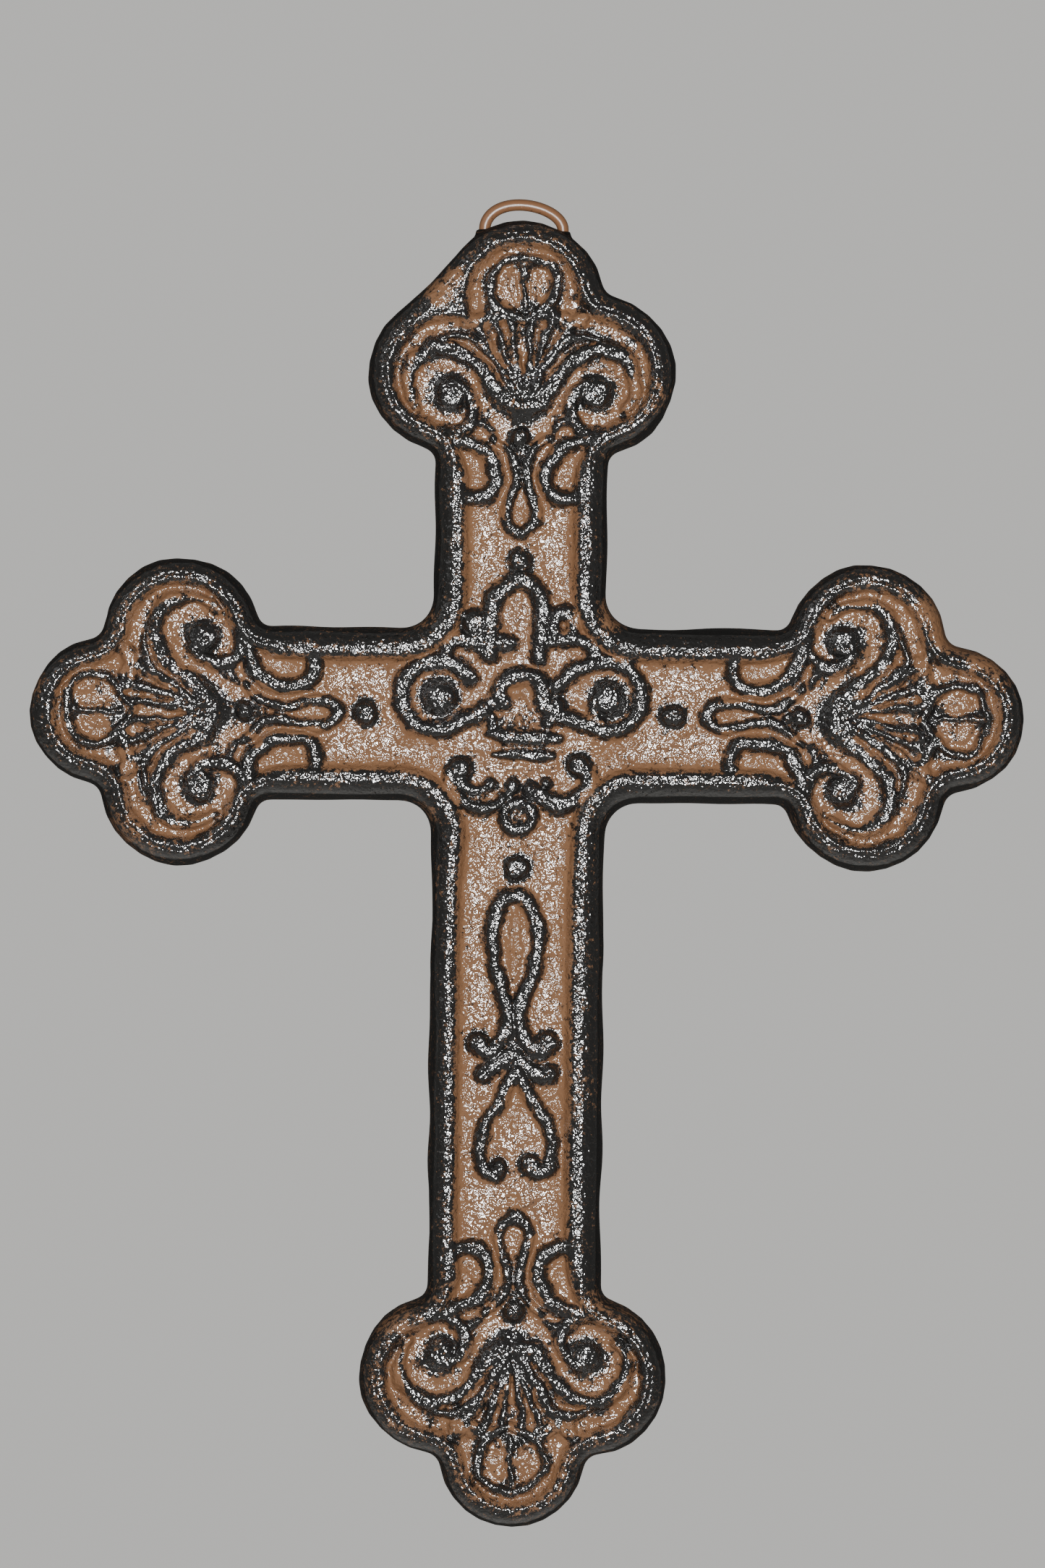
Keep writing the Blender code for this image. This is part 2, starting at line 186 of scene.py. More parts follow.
def wavering(place, seed, amount=0.22):
    """The same place with the small wander of hand carving, different on every end."""
    def moved(point):
        # Each way, one wave is about 12 mm long and a weaker one about 5.5 mm
        x, z = point
        across = math.sin(0.43 * x + 0.31 * z + 2.1 * seed) + 0.4 * math.sin(1.1 * z + seed)
        along = math.sin(0.37 * z - 0.29 * x + 3.3 * seed) + 0.4 * math.sin(1.2 * x - seed)
        return place((x + amount * across, z + amount * along))
    return moved


class Relief:
    """Raised and sunk strokes in millimetres, drawn through a function that puts their points in place.

    A groove's width is its full width, and a ridge's is about that of its top. A taper gives the width at
    both ends as shares of the width between them.
    """

    def __init__(self):
        self.ridges = []
        self.grooves = []
        self.domes = []
        self.dishes = []

    def ridge(self, place, points, width=1.6, rise=1.35, taper=(1.0, 1.0)):
        line = smooth_line([place(p) for p in points])
        self.ridges.append((line, RIDGE_FOOT * width, rise, taper))

    def groove(self, place, points, width=2.2, depth=0.5, taper=(1.0, 1.0), brown=1.0):
        line = smooth_line([place(p) for p in points])
        self.grooves.append((line, 0.5 * width, depth, taper, brown))

    def dome(self, place, centre, radius, rise=1.6):
        self.domes.append((place(centre), radius, rise))

    def dish(self, place, centre, radii, depth=0.8):
        middle = place(centre)
        across = place((centre[0] + radii[0], centre[1])) - middle
        along = place((centre[0], centre[1] + radii[1])) - middle
        self.dishes.append((middle, np.linalg.inv(np.column_stack((across, along))), depth))


def draw_end(relief, end):
    """One trefoil end, drawn as the top arm: across, then outwards.

    The strokes in the end lobe are measured from the middle of that lobe, the others from the crossing.
    """
    def lobe_place(point):
        return turned((point[0], end.lobe_line + point[1] - DRAWN_LOBE_LINE), end.turns)

    def tip_place(point):
        return turned((point[0], end.reach - DRAWN_TIP_RADIUS + point[1]), end.turns)

    place = wavering(lobe_place, end.seed)
    tip = wavering(tip_place, end.seed)

    # The end lobe: a horseshoe with two dishes in it, and a channel round it
    horseshoe = [(0.2, -5.4), (2.8, -3.9), (5.1, -1.9), (6.2, 0.8), (5.8, 3.3), (3.8, 5.2), (0.3, 5.9),
                 (-3.2, 5.2), (-5.3, 3.2), (-5.9, 0.7), (-5.0, -2.0), (-2.6, -4.0), (0.2, -5.4)]
    relief.ridge(tip, horseshoe, width=1.0, rise=1.3)
    relief.ridge(tip, [(0.2, 5.6), (0.1, 3.0), (0.1, -0.5), (0.2, -3.4)], width=0.7, rise=0.6,
                 taper=(1.6, 0.5))
    for across, radii in ((-2.7, (2.7, 4.3)), (3.0, (2.8, 4.3))):
        relief.dish(tip, (across, 0.9), radii, 0.75)
    beside = ((8.0, -3.6), (8.6, -0.6), (8.3, 2.8), (6.6, 5.5), (3.6, 7.2), (-0.4, 7.7))
    for mirror in (1, -1):
        channel = [(mirror * across + 0.2, outwards) for across, outwards in beside]
        relief.groove(tip, channel, width=3.3, depth=0.9, taper=(1.1, 0.7 if end.turns % 2 else 0.5))

    for mirror in (1, -1):
        def side(point, mirror=mirror):
            return place((mirror * point[0], point[1]))

        def tip_side(point, mirror=mirror):
            return tip((mirror * point[0], point[1]))

        # The ridge from the horseshoe out to the notch
        relief.ridge(tip_side, [(4.4, -3.2), (6.2, -4.9), (8.4, -5.4), (10.6, -4.4)], width=1.4, rise=1.3)

        # The scroll of the side lobe and its eye, with the leaf that curls over them
        relief.ridge(side, [(14.0, 50.2), (11.2, 50.7), (9.3, 52.3), (8.6, 54.8), (9.3, 57.4), (11.2, 59.2)],
                     width=1.4, taper=(1.1, 0.8))
        relief.dome(side, (12.8, 57.4), 3.3, 1.3)
        relief.ridge(side, [(18.2, 54.8), (19.6, 57.4), (19.9, 60.6), (18.7, 63.4), (16.0, 65.2),
                            (12.8, 65.5), (9.8, 64.4), (7.4, 62.1), (5.4, 59.4), (3.4, 57.0), (1.2, 55.9)],
                     width=1.7, taper=(0.6, 1.4))

        # Three leaves and half of the middle one, their scalloped edge, and the hollows between them
        relief.ridge(side, [(13.6, 67.2), (10.4, 67.8), (7.6, 66.6), (5.2, 63.8), (3.2, 60.6), (1.4, 57.6)],
                     width=1.1, taper=(0.6, 1.2))
        relief.ridge(side, [(8.8, 69.4), (7.0, 67.8), (5.0, 64.8), (3.1, 61.2), (1.5, 58.0)],
                     width=0.9, rise=1.15, taper=(1.0, 1.2))
        relief.ridge(side, [(5.0, 69.6), (4.0, 67.2), (2.7, 63.6), (1.3, 59.5)], width=0.9, rise=1.15)
        relief.ridge(side, [(1.8, 70.2), (1.6, 66.5), (1.1, 62.5), (0.5, 59.0)], width=0.85, rise=1.15)
        relief.ridge(side, [(1.8, 70.0), (3.4, 71.3), (5.1, 69.9), (6.8, 71.3), (8.7, 69.8), (10.4, 69.8)],
                     width=0.95, rise=1.1)
        relief.dish(side, (3.4, 69.8), (0.9, 1.1), 0.5)
        relief.dish(side, (6.8, 69.8), (0.9, 1.0), 0.5)
        relief.groove(side, [(3.0, 68.6), (2.4, 65.8), (1.6, 62.6)], width=1.3, depth=0.8, taper=(1.2, 0.5),
                      brown=0.72)
        relief.groove(side, [(6.6, 68.6), (5.0, 65.8), (3.2, 62.2)], width=1.4, depth=0.8, taper=(1.2, 0.5),
                      brown=0.72)
        relief.groove(side, [(12.6, 66.6), (9.8, 66.2), (7.2, 64.0), (5.0, 61.0), (3.4, 58.9)], width=1.4,
                      depth=0.8, taper=(0.7, 0.5), brown=0.75)

        # The hollow that winds round the scroll, and the crescent inside the rim
        relief.groove(side, [(2.0, 52.5), (3.8, 53.1), (6.6, 55.4), (8.6, 59.2), (10.9, 61.7), (14.0, 62.6),
                             (16.8, 61.5), (18.0, 58.8), (17.5, 56.0), (15.4, 54.1), (12.8, 53.3),
                             (10.9, 54.2)], width=3.0, depth=1.0, taper=(0.5, 0.7))
        tail = [(20.4, 56.8)] if end.turns == 2 else [(20.2, 56.4), (18.6, 54.2)]
        crescent = [(9.6, 70.2), (13.2, 69.9), (16.8, 68.6), (19.5, 65.9), (20.9, 62.6), (21.1, 59.4)]
        relief.groove(side, crescent + tail, width=3.3, depth=1.0, taper=(1.0, 0.35))

        # The neck: small hollows, the curved ridge with its dish, and one side of the teardrop
        relief.groove(side, [(6.2, 54.6), (4.1, 52.6), (3.3, 50.2), (4.0, 48.0)], width=1.6, depth=0.5)
        relief.ridge(side, [(10.6, 51.2), (7.8, 52.4), (5.4, 51.4)], width=1.0, rise=0.9, taper=(1.0, 0.6))
        relief.dish(side, (7.6, 50.9), (1.3, 0.7), 0.5)
        low = end.neck_shift
        relief.ridge(side, [(14.0, 50.3), (10.6, 49.4), (7.4, 48.1), (5.3, 46.0), (4.5, 42.8 + 0.5 * low),
                            (4.8, 39.6 + low), (6.2, 38.0 + low), (8.0, 37.4 + low), (9.9, 37.8 + low),
                            (11.6, 39.2 + low)], width=1.7, rise=1.5)
        relief.dish(side, (9.3, 42.9 + 1.2 * low), (3.5, 4.3 - 0.7 * low), 0.8)
        relief.ridge(side, [(0.0, 32.9), (1.9, 34.4), (2.5, 36.5), (2.0, 39.1), (1.25, 41.7), (1.0, 44.2),
                            (1.8, 46.5), (3.4, 48.4), (5.0, 50.0)], width=1.15, rise=1.2, taper=(1.2, 0.7))
        relief.groove(side, [(3.3, 36.6), (3.2, 40.0), (2.8, 43.0), (3.4, 45.6), (5.0, 47.6)], width=1.5,
                      depth=0.5)

    # On the middle line: the middle leaf's hollow, the leaves' root, two beads and the teardrop's dish
    relief.groove(place, [(0.0, 70.4), (0.0, 66.0), (0.0, 61.0)], width=1.6, depth=0.8, taper=(1.1, 0.6))
    relief.dome(place, (0.0, 56.2), 3.9, 1.0)
    relief.dome(place, (0.0, 49.6), 2.1, 1.5)
    relief.dome(place, (0.0, 47.2), 1.3, 0.8)
    relief.dish(place, (0.0, 36.8), (1.2, 2.0), 0.5)


def draw_crossing(relief):
    """The crossing: a pointed arch, two large scrolls, a small arch, two bars and a pendant."""
    place = as_drawn

    # The pointed arch with a short bar in it, and the leaves at its two feet
    relief.ridge(place, [(0.0, 24.0), (-2.5, 22.5), (-4.5, 20.2), (-5.2, 17.4), (-5.3, 14.0), (-5.4, 10.4)],
                 width=2.01, rise=1.5)
    relief.ridge(place, [(0.0, 24.0), (2.3, 22.5), (3.8, 20.3), (4.1, 17.4), (3.8, 14.0), (3.5, 10.2)],
                 width=1.89, rise=1.5)
    relief.ridge(place, [(-5.0, 13.4), (-3.4, 12.9), (-1.8, 12.6)], width=1.77, rise=1.3, taper=(1.0, 1.1))
    relief.ridge(place, [(-13.0, 10.6), (-12.5, 12.5), (-10.6, 13.3), (-8.4, 12.8), (-6.6, 11.9),
                         (-5.4, 10.6)], width=1.65)
    relief.ridge(place, [(-8.2, 16.6), (-7.4, 14.8), (-6.2, 13.6), (-5.3, 12.6)], width=2.36, rise=1.3)
    relief.dome(place, (-7.9, 16.1), 2.5, 1.5)
    relief.ridge(place, [(4.2, 12.6), (6.2, 13.3), (8.4, 13.5), (10.8, 13.2), (12.8, 12.0), (13.6, 10.2)],
                 width=1.77)
    relief.ridge(place, [(6.2, 14.0), (5.8, 16.0), (6.8, 17.6), (8.8, 17.6), (9.6, 15.8), (9.0, 14.0)],
                 width=1.77, rise=1.5)
    relief.dish(place, (7.8, 15.4), (1.1, 1.5), 0.5)
    relief.ridge(place, [(4.0, 15.6), (4.8, 14.4), (5.6, 13.4)], width=1.65, rise=1.0)

    # The two large scrolls with their eyes
    left_scroll = [(-8.9, 6.2), (-10.2, 8.0)] + curl((-14.6, 3.1), 6.3, 5.9, 62, 296)
    relief.ridge(place, left_scroll + [(-9.6, -1.0), (-7.7, -0.2), (-6.4, 0.8)], width=1.89, rise=1.45)
    relief.dome(place, (-6.2, 1.2), 1.6, 1.4)
    relief.ridge(place, [(-6.2, 0.6), (-5.0, -0.6), (-4.5, -2.6)], width=1.42, rise=1.1)
    relief.dish(place, (-14.4, 3.1), (5.4, 5.2), 0.45)
    relief.dome(place, (-13.9, 3.0), 3.5, 1.6)
    right_scroll = [(6.6, 5.0), (8.1, 6.6), (9.8, 7.9)] + curl((15.3, 3.2), 6.4, 6.1, 128, -100)
    relief.ridge(place, right_scroll + [(12.4, -1.9), (10.4, -1.3), (8.2, -0.5), (6.4, -0.7), (5.0, -1.3)],
                 width=1.77, rise=1.45)
    relief.dish(place, (14.6, 3.0), (5.4, 5.2), 0.45)
    relief.dome(place, (15.6, 2.9), 3.5, 1.6)
    relief.ridge(place, [(17.4, -2.8), (15.0, -2.2), (13.5, -0.7), (13.0, 1.2), (13.6, 3.2)], width=1.5,
                 rise=1.3, taper=(1.0, 0.8))
    relief.dome(place, (6.2, 1.3), 2.3, 1.35)

    # The small arch on its spread feet, and the two bars
    relief.ridge(place, [(-2.6, 2.2), (-3.5, 3.2), (-3.2, 5.0), (-2.0, 6.4), (0.2, 7.0), (2.4, 6.6),
                         (3.8, 5.4), (4.2, 3.6), (4.4, 1.6), (5.4, 1.2)], width=1.89, rise=1.45)
    relief.ridge(place, [(-4.9, 2.0), (-3.6, 2.2), (-2.6, 2.2)], width=1.53, rise=1.2)
    for foot in (-3.6, -1.4, 1.4, 3.8):
        relief.ridge(place, [(0.1 * foot, 2.8), (0.35 * foot, 1.0), (foot, -2.0)], width=0.94, rise=0.55)
    relief.dish(place, (0.3, 4.0), (2.4, 2.2), 0.35)
    relief.ridge(place, [(-5.4, -3.4), (-1.0, -4.0), (3.4, -4.0), (7.2, -4.0)], width=1.8, rise=1.35,
                 taper=(0.4, 0.45))
    relief.ridge(place, [(-4.5, -7.0), (-0.6, -7.0), (2.6, -7.2), (5.9, -7.3)], width=1.35, rise=1.25,
                 taper=(0.4, 0.5))

    # The lower garland: two hooks with knobs, petals between them, and the pendant ring
    relief.dome(place, (-10.2, -9.6), 2.5, 1.55)
    relief.ridge(place, [(-12.0, -10.6), (-11.8, -12.8), (-10.5, -14.7), (-8.6, -16.0), (-6.1, -16.5),
                         (-3.8, -16.0), (-2.9, -14.6)], width=1.5, rise=1.35, taper=(1.1, 0.9))
    relief.ridge(place, [(-9.9, -12.2), (-8.6, -13.3), (-7.1, -13.5), (-5.6, -13.0), (-4.7, -12.0)],
                 width=1.15, rise=1.15, taper=(1.1, 1.1))
    relief.dome(place, (10.5, -8.8), 2.3, 1.55)
    relief.ridge(place, [(11.8, -10.0), (12.3, -11.8), (11.6, -13.8), (9.4, -15.3), (7.0, -15.7),
                         (5.0, -15.2), (3.4, -14.2)], width=2.15, rise=1.4, taper=(1.0, 0.8))
    relief.groove(place, [(9.6, -11.6), (7.6, -12.2), (5.8, -11.4)], width=2.4, depth=0.5)
    petals = (((-1.0, -12.5), 1.5), ((2.2, -13.4), 1.8), ((4.9, -12.0), 1.3), ((-4.7, -12.2), 1.2))
    for petal, radius in petals:
        relief.dome(place, petal, radius, 1.1)
    relief.ridge(place, [(-1.2, -12.8), (-1.7, -14.4)], width=1.1, rise=1.0)
    relief.ridge(place, curl((0.0, -17.9), 2.5, 2.5, 0, 360), width=1.3, rise=1.35)
    relief.dome(place, (0.0, -17.9), 2.9, 0.6)
    relief.dome(place, (-7.4, -14.9), 1.9, 0.6)

    # Shallow channels along the rim at the four corners
    corners = (
        [(-8.9, 17.6), (-10.8, 15.9), (-13.6, 13.8), (-17.6, 11.0)],
        [(10.0, 17.2), (12.2, 15.4), (14.4, 13.6), (18.0, 10.4)],
        [(-20.0, -4.6), (-16.0, -5.6), (-13.9, -8.0), (-13.7, -11.4), (-11.4, -15.0)],
        [(20.0, -4.8), (16.2, -5.8), (14.2, -8.4), (14.4, -11.4), (12.2, -15.0)],
    )
    for corner in corners:
        relief.groove(place, corner, width=3.4, depth=0.5)


def draw_lower_arm(relief):
    """The long lower arm: a pointed oval, two pairs of knobs and a heart, drawn downwards."""
    def plain(point):
        return np.array((point[0], -point[1]), dtype=float)

    place = wavering(plain, seed=0.6, amount=0.1)

    # The two sides of the pointed oval, which meet below it and end in knobs
    relief.ridge(place, [(0.0, 31.7), (-2.2, 32.5), (-3.5, 34.6), (-4.1, 38.0), (-4.1, 41.8), (-3.6, 45.2),
                         (-2.5, 48.4), (-1.6, 51.4), (-1.4, 54.0), (-2.1, 56.8), (-4.0, 58.8), (-6.0, 58.9)],
                 width=1.655, rise=1.4, taper=(1.0, 1.2))
    relief.ridge(place, [(0.0, 31.7), (1.6, 32.7), (2.9, 34.9), (3.7, 38.4), (3.7, 42.0), (3.0, 45.4),
                         (1.8, 48.4), (0.8, 51.0), (0.6, 54.0), (1.5, 57.2), (3.3, 58.9), (5.2, 58.8)],
                 width=1.65, rise=1.4, taper=(1.0, 1.3))
    relief.dome(place, (-6.7, 57.8), 2.2, 1.5)
    relief.dome(place, (5.6, 57.6), 2.3, 1.6)
    relief.dish(place, (-0.2, 40.2), (2.6, 8.2), 0.45)
    relief.ridge(place, [(-0.4, 34.5), (-0.4, 40.0), (-0.4, 46.5)], width=1.42, rise=0.35, taper=(0.6, 0.6))

    # The stem between the oval and the heart, with its short arms and their knobs
    relief.ridge(place, [(0.0, 56.6), (0.0, 60.0), (0.0, 64.0)], width=1.77, rise=0.9)
    relief.ridge(place, [(-0.2, 59.8), (-2.6, 60.8), (-4.6, 62.2), (-5.7, 63.2)], width=2.01, rise=1.15)
    relief.ridge(place, [(0.2, 60.8), (2.4, 62.4), (4.2, 63.7), (5.9, 63.4)], width=2.01, rise=1.15)
    relief.dome(place, (-5.7, 63.3), 1.8, 1.35)
    relief.dome(place, (5.9, 63.2), 1.9, 1.4)

    # The heart, which is open below and curls in
    relief.ridge(place, [(-0.3, 62.8), (-1.7, 65.6), (-3.1, 68.4), (-4.8, 71.2), (-5.8, 74.0), (-6.1, 77.0),
                         (-5.4, 80.0), (-3.6, 81.2)], width=1.5, rise=1.4, taper=(1.1, 0.9))
    relief.ridge(place, [(0.3, 62.8), (1.9, 65.6), (3.6, 68.5), (5.3, 71.3), (6.3, 74.2), (6.5, 77.2),
                         (5.7, 80.0), (3.8, 80.8), (2.7, 79.6)], width=1.5, rise=1.4, taper=(1.1, 1.2))
    relief.dome(place, (-2.8, 79.5), 1.8, 1.4)
    relief.dome(place, (2.5, 79.0), 2.0, 1.5)
    relief.dish(place, (0.0, 69.0), (2.2, 5.0), 0.4)
    relief.dish(place, (0.0, 85.6), (1.6, 1.8), 0.35)


def draw_relief():
    """All of the carving: the four ends, the knob on each arm, the crossing and the long lower arm."""
    relief = Relief()
    for end in ENDS:
        draw_end(relief, end)
        knob = turned((0.0, KNOB_FROM_CROSSING), end.turns)
        relief.dome(as_drawn, knob, radius=2.5, rise=1.3)
    draw_crossing(relief)
    draw_lower_arm(relief)
    return relief


# Reading the relief at the casting's points

def smooth_step(low, high, value):
    """0 at low and 1 at high, eased at both; with low above high it runs the other way."""
    t = np.clip((value - low) / (high - low), 0.0, 1.0)
    return t * t * (3.0 - 2.0 * t)


def crown(share):
    """A round section: 1 in the middle, 0 from the edge outwards."""
    return np.clip(1.0 - share ** 2, 0.0, 1.0)


def raised_section(share, top_edge, sides):
    """A nearly flat top out to the share top_edge, with steep sides down to 0 at the foot.

    The sides take their part of the height, and a low crown takes the rest.
    """
    return sides * smooth_step(1.0, top_edge, share) + (1.0 - sides) * crown(share)


def stroke_share(places, line, half_width, taper):
    """Distance from a stroke as a share of its half width there: 0 on its line, 1 at its foot."""
    out_of_reach = 9.0
    share = np.full(len(places), out_of_reach)
    reach = half_width * max(1.0, *taper)
    low, high = line.min(0) - reach, line.max(0) + reach
    near = np.flatnonzero(((places >= low) & (places <= high)).all(1))
    if not len(near):
        return share
    best = np.full(len(near), out_of_reach)
    spots = places[near]
    taper_along = np.interp(np.linspace(0, 1, len(line)), (0, 0.3, 0.7, 1), (taper[0], 1, 1, taper[1]))
    for start, end, width in zip(line[:-1], line[1:], half_width * taper_along):
        along = end - start
        t = np.clip((spots - start) @ along / (along @ along), 0.0, 1.0)
        best = np.minimum(best, np.linalg.norm(spots - start - t[:, None] * along, axis=1) / width)
    share[near] = best
    return share


def lumps(points, seed, size, count=24):
    """A gentle unevenness, mostly between -1 and 1, with bumps of about the size given."""
    rng = np.random.default_rng(seed)
    value = np.zeros(len(points))
    for _ in range(count):
        direction = rng.normal(size=points.shape[1])
        direction *= 2 * math.pi / (size * rng.uniform(1.4, 3.0) * np.linalg.norm(direction))
        value += np.sin(points @ direction + rng.uniform(0, 2 * math.pi))
    return value / math.sqrt(count)


def outward_share(places, end, start, full):
    """0 to 1 along an end's arm, between two distances short of the line of its side lobes."""
    outward = places @ turned((0.0, 1.0), end.turns)
    return smooth_step(end.lobe_line - start, end.lobe_line - full, outward)


def end_share(places):
    """1 on the trefoil ends, 0 on the arms and the crossing."""
    return np.max([outward_share(places, end, 19.0, 13.0) for end in ENDS], axis=0)


def plateau_share(places):
    """1 where an end's scrolls and leaves stand close together, 0 elsewhere."""
    return np.max([outward_share(places, end, 9.5, 7.0) for end in ENDS], axis=0)


def rim_profile(inset, in_end):
    """Height of the shoulder, the rim and the field, by the distance in from the outline."""
    turn = np.clip((inset - SHOULDER_FROM) / SHOULDER_WIDTH, 0.0, 1.0)
    shoulder = SHOULDER_FOOT + SHOULDER_RISE * np.sqrt(1.0 - (1.0 - turn) ** 2)
    arm_rim = np.interp(inset, (RIM_FROM, 3.3, 4.8, 5.4, 6.2, 7.0),
                        (11.75, RIM_TOP, 11.95, 11.6, 10.3, FIELD))
    end_rim = np.interp(inset, (RIM_FROM, 3.4, 3.9, 4.6, 5.4, 6.2),
                        (11.6, RIM_TOP, 11.9, 11.0, 10.1, FIELD))
    rim = arm_rim + (end_rim - arm_rim) * in_end
    return np.where(inset < RIM_FROM, np.minimum(shoulder, RIM_TOP), rim)


def rim_inset(places, inset):
    """The inset that the rim is read at: on the lower arm it is narrower on the left than on the right."""
    lower = smooth_step(-22.0, -32.0, places[:, 1]) * smooth_step(-100.0, -90.0, places[:, 1])
    return inset * (1.0 + lower * np.where(places[:, 0] < 0, 0.14, -0.08))


def fill_web(places, inset):
    """Keep the rim on the two lobes where the top end's left notch is filled, with a flat web outside it."""
    top = ENDS[0]
    side_centre = np.array((-SIDE_LOBE_ACROSS, top.lobe_line))
    tip_centre = np.array((0.0, top.reach - TOP_LOBE_RADIUS))
    inside = np.maximum(SIDE_LOBE_RADIUS - np.linalg.norm(places - side_centre, axis=1),
                        TOP_LOBE_RADIUS - np.linalg.norm(places - tip_centre, axis=1))
    at_notch = (places[:, 0] < -4.0) & (places[:, 1] > top.lobe_line + 3.0)
    return np.where(at_notch, np.minimum(inset, np.maximum(inside, WEB_INSET)), inset)


def shoulder_rub(places, inset):
    """How black the shoulder and rim are: nearly all on the arms, browner round some of the ends."""
    rub = np.full(len(places), ARM_SHOULDER_BLACK)
    for end in ENDS:
        rub += (end.shoulder_black - rub) * outward_share(places, end, 17.0, 10.0)
    on_rim = smooth_step(2.4, 3.4, inset)
    return rub + (np.minimum(rub, RIM_BLACK) - rub) * on_rim


def cast_wander(places, in_end):
    """The same places with the small wander that a hand-cut pattern has after casting in sand."""
    broad = np.column_stack((lumps(places, 21, 2.6), lumps(places, 22, 2.6)))
    fine = np.column_stack((lumps(places, 23, 1.3), lumps(places, 24, 1.3)))
    return places + (0.13 + 0.07 * in_end)[:, None] * (broad + 0.6 * fine)


def read_raised(places, thinness, in_end, relief):
    """Height of the ridges and domes, the black of each, and 1 at their feet. The black runs on a little past
    each foot: on the ridge or dome it is rubbed paint, past the foot it is painted shade.
    """
    lift = np.zeros(len(places))
    black = np.zeros(len(places))
    knob = np.zeros(len(places))
    foot = np.zeros(len(places))
    for line, half_width, rise, taper in relief.ridges:
        share = stroke_share(places, line, half_width, taper) * thinness
        lift = np.maximum(lift, rise * raised_section(share, top_edge=0.4, sides=0.75))
        # The black fades out past the ridge's foot: rubbed paint on the ridge, painted shade in the valley
        # beside it
        black = np.maximum(black, smooth_step(1.3 + 0.1 * in_end, 0.45, share) * min(1.0, rise))
        foot = np.maximum(foot, smooth_step(2.5, 1.1, share))
    for centre, radius, rise in relief.domes:
        share = np.linalg.norm(places - centre, axis=1) / radius
        lift = np.maximum(lift, 0.95 * rise * raised_section(share, top_edge=0.5, sides=0.85))
        # The black goes on past the dome's edge as a dark ring: rubbed paint on the dome, painted shade round
        # its foot
        knob = np.maximum(knob, smooth_step(1.45, 0.85, share) * min(1.0, rise))
        foot = np.maximum(foot, smooth_step(2.3, 1.1, share))
    return lift, black, knob, foot


def read_sunk(places, thinness, patchy, foot, relief):
    """Depth of the grooves, dishes and feet of ridges, and how brown the grooves and dishes are."""
    sink = 0.35 * foot
    hollow = np.zeros(len(places))
    for line, half_width, depth, taper, brown in relief.grooves:
        share = stroke_share(places, line, half_width, taper) * thinness
        sink = np.maximum(sink, depth * crown(share))
        hollow = np.maximum(hollow, brown * patchy * smooth_step(1.1, 0.6, share))
    for centre, inverse, depth in relief.dishes:
        share = np.linalg.norm((places - centre) @ inverse.T, axis=1)
        sink = np.maximum(sink, depth * crown(share))
        hollow = np.maximum(hollow, patchy * smooth_step(1.0, 0.7, share))
    return sink, hollow


def read_relief(places, inset, relief):
    """Height of the front, how much black is on it, rubbed paint with painted shade at the feet of the
    strokes, and how sandy its skin is.
    """
    in_end = end_share(places)
    plateau = plateau_share(places)

    # The hollows are brown in patches, and the strokes wander and vary in width by about a tenth
    patchy = 0.92 - 0.14 * in_end + 0.24 * lumps(places, 25, 3.2) + 0.14 * lumps(places, 26, 1.4)
    patchy = np.clip(patchy, 0.25, 1.0)
    strokes_at = cast_wander(places, in_end)
    thinness = 1.0 + 0.1 * lumps(places, 27, 3.0)
    lift, black, knob, foot = read_raised(strokes_at, thinness, in_end, relief)
    sink, hollow = read_sunk(strokes_at, thinness, patchy, foot, relief)

    # The field swells a little towards the middle of the arms, and stands higher between an end's strokes
    inset = rim_inset(places, inset)
    on_field = smooth_step(5.4, 6.6, inset + 1.6 * in_end)
    swell = 0.25 * smooth_step(7.0, 10.5, inset) * (1.0 - in_end)
    ground = rim_profile(inset, in_end) + swell + (0.75 * plateau * (1.0 - foot) - sink) * on_field
    raised = FIELD + lift
    fillet = 0.125 * np.clip(1.0 - np.abs(ground - raised) / 0.5, 0.0, 1.0) ** 2
    height = np.maximum(ground, raised) + fillet

    rim_black = shoulder_rub(places, inset) * smooth_step(6.0, 4.8, inset + 1.1 * in_end)
    ground_black = 0.16 * (1.0 - in_end) + 0.85 * plateau
    # The strokes' black takes in the painted shade at their feet as well as the rubbed paint
    paint = np.maximum(np.maximum(black, ground_black) * (1.0 - hollow), np.maximum(knob, rim_black))
    sheen = np.ones(len(places))
    for patch in WORN_PATCHES:
        from_middle = np.linalg.norm(places - (patch.x, patch.z), axis=1) / patch.radius
        worn = (1.0 - patch.black_left) * smooth_step(1.0, 0.4, from_middle)
        paint *= 1.0 - worn
        sheen *= 1.0 - 0.6 * worn

    # Brown hollows, the feet of the strokes and the panel's border are smoother than what was rubbed black
    brown = 1.0 - np.clip(np.maximum(black, knob), 0, 1)
    border = smooth_step(8.8, 7.2, inset) * (1.0 - in_end)
    smooth_skin = np.maximum(0.75 * foot * (1.0 - plateau), 0.9 * border) * brown
    smooth_skin = np.maximum(hollow * (1.0 - knob), smooth_skin)
    skin = 1.0 - (0.45 + 0.2 * (1.0 - in_end)) * smooth_skin * (1.0 - rim_black)
    return height, paint, skin * sheen


# The casting

def back_outline(node):
    """The outline of the casting's flat back, as close points in millimetres about the crossing."""
    work = bmesh.new()
    work.from_mesh(node.data)
    bmesh.ops.remove_doubles(work, verts=work.verts, dist=1e-6)
    on_back = {v for v in work.verts if v.co.y > -1e-6}
    edges = [e for e in work.edges
             if e.verts[0] in on_back and e.verts[1] in on_back
             and any(not all(v in on_back for v in f.verts) for f in e.link_faces)]
    spacing = 0.25
    spots = []
    for edge in edges:
        start, end = (np.array((v.co.x / MM, v.co.z / MM - CROSSING_Z)) for v in edge.verts)
        count = max(1, round(np.linalg.norm(end - start) / spacing))
        spots.extend(start + (end - start) * i / count for i in range(count))
    work.free()
    return np.array(spots)


